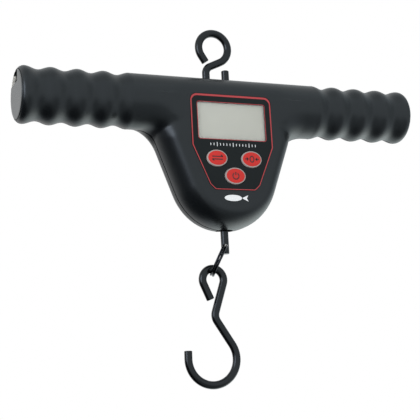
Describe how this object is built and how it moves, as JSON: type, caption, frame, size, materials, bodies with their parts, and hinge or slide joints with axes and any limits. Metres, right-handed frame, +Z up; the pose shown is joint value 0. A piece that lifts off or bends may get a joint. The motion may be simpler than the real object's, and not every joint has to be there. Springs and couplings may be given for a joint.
{
  "type": "digital fish scale",
  "caption": "Hanging digital fish scale: ribbed T-bar handle, shield body with display and keys, wire hang eye and swivelling wire load hook.",
  "frame": {"origin": "inside the top hook's eye, against the upper inside of its wire, where the scale hangs", "axes": "+X along the handle (to the right seen from the display side), +Y from the display side to the back, +Z up"},
  "size_m": [0.2272, 0.0303, 0.1988],
  "materials": {
    "black_plastic": "satin moulded",
    "black_rubber": "matte",
    "panel_black": "smooth printed film",
    "key_red": "smooth",
    "clear_plastic": "polished",
    "display_grey": "satin",
    "board_green": "solder mask",
    "black_enamel": "black enamel",
    "spring_steel": "dark plated",
    "machined_aluminium": "milled",
    "zinc_steel": "zinc plated",
    "brass": "plain",
    "cell_wrap": "printed wrap",
    "gauge_foil": "polyimide foil",
    "red_lead": "wire insulation",
    "black_lead": "wire insulation",
    "white_lead": "wire insulation"
  },
  "bodies": {
    "top_hook": {"top_hook": "black_enamel"},
    "housing": {"front_shell": "black_plastic", "rear_shell": "black_plastic", "left_battery_tube": "black_plastic", "right_battery_tube": "black_plastic", "left_cell": "cell_wrap", "right_cell": "cell_wrap", "left_contact_spring": "spring_steel", "right_contact_spring": "spring_steel", "face_panel": "panel_black", "display_lens": "clear_plastic", "display_glass": "display_grey", "upper_zebra_strip": "black_rubber", "lower_zebra_strip": "black_rubber", "circuit_board": "board_green", "controller_chip": "panel_black", "unit_switch": "zinc_steel", "tare_switch": "zinc_steel", "power_switch": "zinc_steel", "load_cell": "machined_aluminium", "upper_strain_gauge": "gauge_foil", "lower_strain_gauge": "gauge_foil", "load_cell_screw_1": "zinc_steel", "load_cell_screw_2": "zinc_steel", "rod_bush": "black_rubber", "shell_screw_1": "zinc_steel", "shell_screw_2": "zinc_steel", "shell_screw_3": "zinc_steel", "shell_screw_4": "zinc_steel", "board_screw_1": "zinc_steel", "board_screw_2": "zinc_steel", "gauge_lead": "white_lead", "left_battery_lead": "black_lead", "right_battery_lead": "red_lead"},
    "pull_rod": {"pull_rod": "black_enamel", "rod_nut": "zinc_steel", "rod_washer": "zinc_steel"},
    "split_ring": {"split_ring": "spring_steel"},
    "bottom_hook": {"bottom_hook": "black_enamel"},
    "unit_key": {"unit_key": "key_red"},
    "tare_key": {"tare_key": "key_red"},
    "power_key": {"power_key": "key_red"},
    "left_end_cap": {"left_end_cap": "black_plastic", "left_cap_seal": "black_rubber", "left_contact_plate": "brass"},
    "right_end_cap": {"right_end_cap": "black_plastic", "right_cap_seal": "black_rubber", "right_contact_plate": "brass"}
  },
  "joints": [
    {"name": "housing_swing", "type": "hinge", "parent": "top_hook", "child": "housing", "pos_m": [0, 0, -0.0391], "axis": [1, 0, 0], "range_deg": [-6, 6]},
    {"name": "rod_swivel", "type": "hinge", "parent": "housing", "child": "pull_rod", "pos_m": [0, 0, -0.1182], "axis": [0, 0, 1], "continuous": true},
    {"name": "ring_swing", "type": "hinge", "parent": "pull_rod", "child": "split_ring", "pos_m": [0, 0, -0.1182], "axis": [0.3322, 0.9432, 0], "range_deg": [-100, 50]},
    {"name": "hook_swing", "type": "hinge", "parent": "split_ring", "child": "bottom_hook", "pos_m": [-0.00705, 0.00248, -0.13022], "axis": [1, 0, 0], "range_deg": [-40, 40]},
    {"name": "unit_key_press", "type": "slide", "parent": "housing", "child": "unit_key", "axis": [0, 1, 0], "range_m": [0, 0.0008], "stiffness_N_per_m": 300, "springref_m": -0.0005},
    {"name": "tare_key_press", "type": "slide", "parent": "housing", "child": "tare_key", "axis": [0, 1, 0], "range_m": [0, 0.0008], "stiffness_N_per_m": 300, "springref_m": -0.0005},
    {"name": "power_key_press", "type": "slide", "parent": "housing", "child": "power_key", "axis": [0, 1, 0], "range_m": [0, 0.0008], "stiffness_N_per_m": 300, "springref_m": -0.0005},
    {"name": "left_cap_pull", "type": "slide", "parent": "housing", "child": "left_end_cap", "axis": [-1, 0, 0], "range_m": [0, 0.015]},
    {"name": "right_cap_pull", "type": "slide", "parent": "housing", "child": "right_end_cap", "axis": [1, 0, 0], "range_m": [0, 0.015]}
  ]
}
